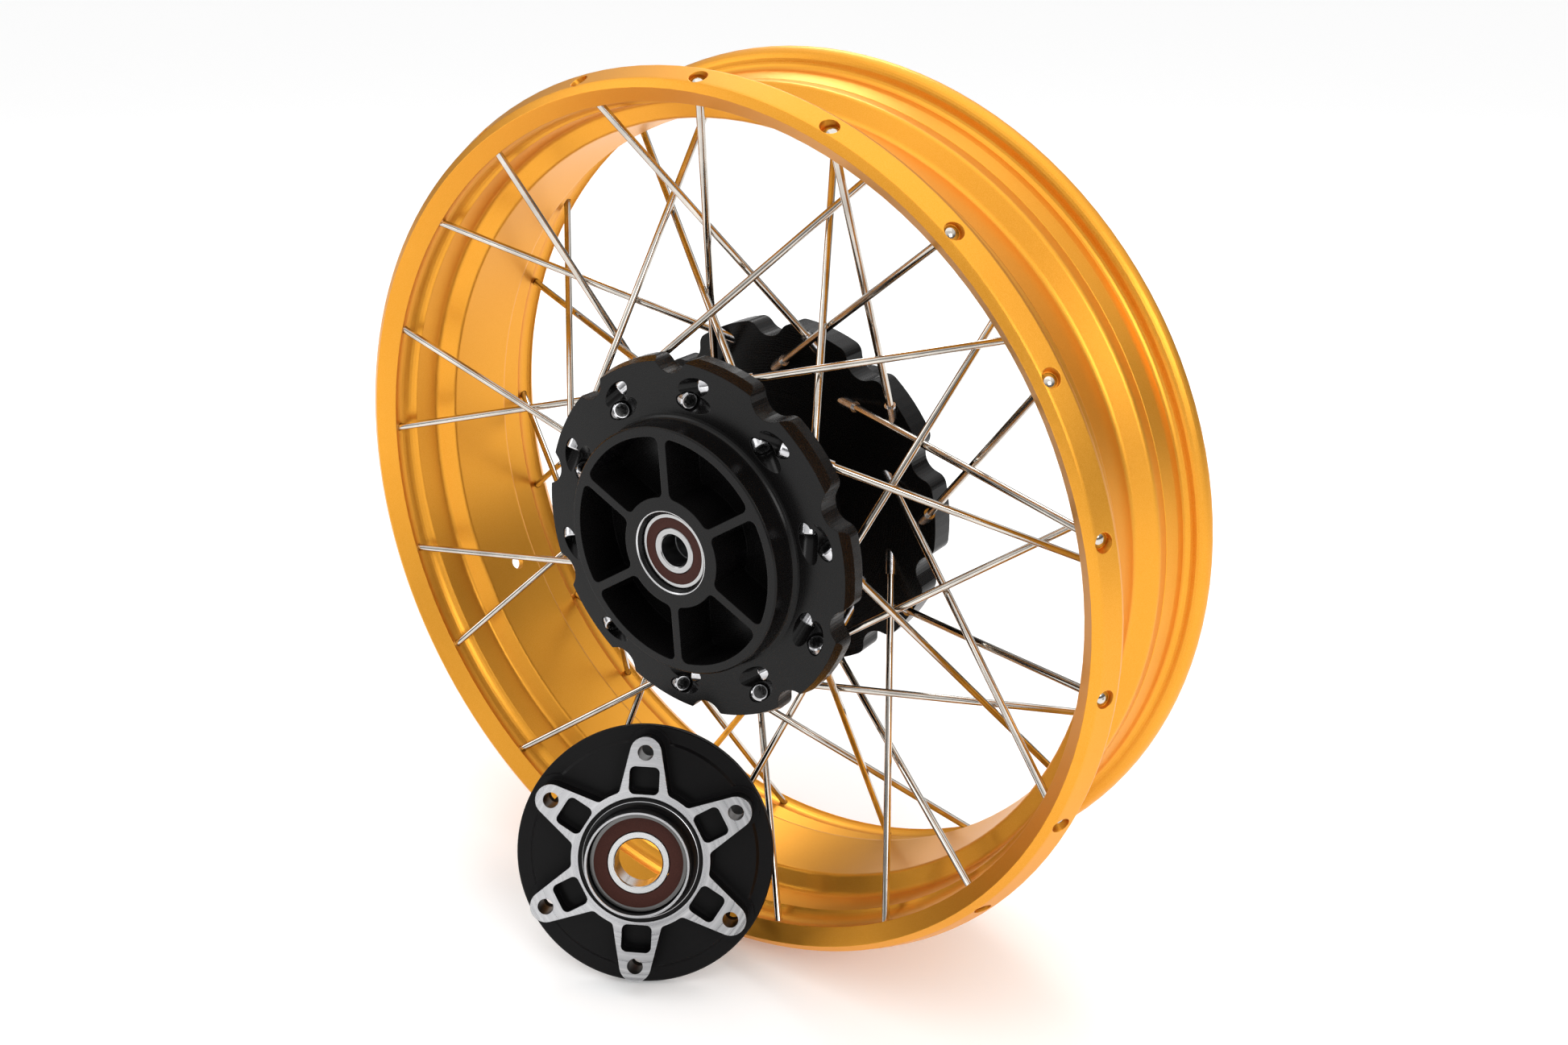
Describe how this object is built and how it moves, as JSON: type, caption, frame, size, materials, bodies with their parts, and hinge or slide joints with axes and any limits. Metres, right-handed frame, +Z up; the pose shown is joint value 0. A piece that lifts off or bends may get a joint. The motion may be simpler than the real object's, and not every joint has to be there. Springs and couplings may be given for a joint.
{
  "type": "spoked wheel",
  "caption": "Wide spoked motorcycle rear wheel with a lobed hub, open cush-drive drum, sealed wheel bearings and a loose sprocket carrier.",
  "frame": {"origin": "the wheel's centre: on the axle line, midway between the two tyre flanges", "axes": "+Y along the axle from the drum side to the brake side, +Z up, +X to the right seen from the drum side"},
  "size_m": [0.4619, 0.2048, 0.4644],
  "materials": {
    "rim_gold": "satin, bead-blasted gold anodising",
    "hub_black": "satin black anodising",
    "carrier_black": "satin black anodising with bare machined faces on the star",
    "spoke_steel": "polished stainless steel",
    "nipple_steel": "bright plated",
    "seal_rubber": "matt brown rubber",
    "cage_steel": "pressed steel",
    "spacer_aluminium": "turned",
    "bearing_steel": "ground"
  },
  "bodies": {
    "axle_set": {"axle_spacer": "spacer_aluminium", "near_bearing_inner_ring": "bearing_steel", "far_bearing_inner_ring": "bearing_steel"},
    "wheel": {"rim": "rim_gold", "hub": "hub_black", "spokes_near_inner": "spoke_steel", "spokes_near_outer": "spoke_steel", "spokes_far_inner": "spoke_steel", "spokes_far_outer": "spoke_steel", "nipples_near_inner": "nipple_steel", "nipples_near_outer": "nipple_steel", "nipples_far_inner": "nipple_steel", "nipples_far_outer": "nipple_steel", "near_bearing_outer_ring": "bearing_steel", "near_bearing_seals": "seal_rubber", "far_bearing_outer_ring": "bearing_steel", "far_bearing_seals": "seal_rubber"},
    "near_ball_set": {"near_bearing_balls": "bearing_steel", "near_bearing_cage": "cage_steel"},
    "far_ball_set": {"far_bearing_balls": "bearing_steel", "far_bearing_cage": "cage_steel"},
    "carrier": {"sprocket_carrier": "carrier_black", "carrier_bearing_outer_ring": "bearing_steel", "carrier_bearing_seals": "seal_rubber"},
    "carrier_inner": {"carrier_bearing_inner_ring": "bearing_steel"},
    "carrier_ball_set": {"carrier_bearing_balls": "bearing_steel", "carrier_bearing_cage": "cage_steel"}
  },
  "joints": [
    {"name": "wheel_spin", "type": "hinge", "parent": "axle_set", "child": "wheel", "pos_m": [0, 0, 0], "axis": [0, 1, 0], "continuous": true},
    {"name": "near_balls_roll", "type": "hinge", "parent": "axle_set", "child": "near_ball_set", "pos_m": [0, 0, 0], "axis": [0, 1, 0], "continuous": true},
    {"name": "far_balls_roll", "type": "hinge", "parent": "axle_set", "child": "far_ball_set", "pos_m": [0, 0, 0], "axis": [0, 1, 0], "continuous": true},
    {"name": "carrier_lift", "type": "slide", "parent": "axle_set", "child": "carrier", "axis": [0.4879, -0.793, 0.3649], "range_m": [0, 0.05]},
    {"name": "carrier_bearing_spin", "type": "hinge", "parent": "carrier", "child": "carrier_inner", "pos_m": [0.0004, -0.10191, -0.16324], "axis": [0.4879, -0.793, 0.3649], "continuous": true},
    {"name": "carrier_balls_roll", "type": "hinge", "parent": "carrier", "child": "carrier_ball_set", "pos_m": [0.0004, -0.10191, -0.16324], "axis": [0.4879, -0.793, 0.3649], "continuous": true}
  ],
  "couplings": [
    {"joint": "near_balls_roll", "follows": "wheel_spin", "ratio": 0.6184},
    {"joint": "far_balls_roll", "follows": "wheel_spin", "ratio": 0.6184},
    {"joint": "carrier_balls_roll", "follows": "carrier_bearing_spin", "ratio": 0.3969}
  ]
}
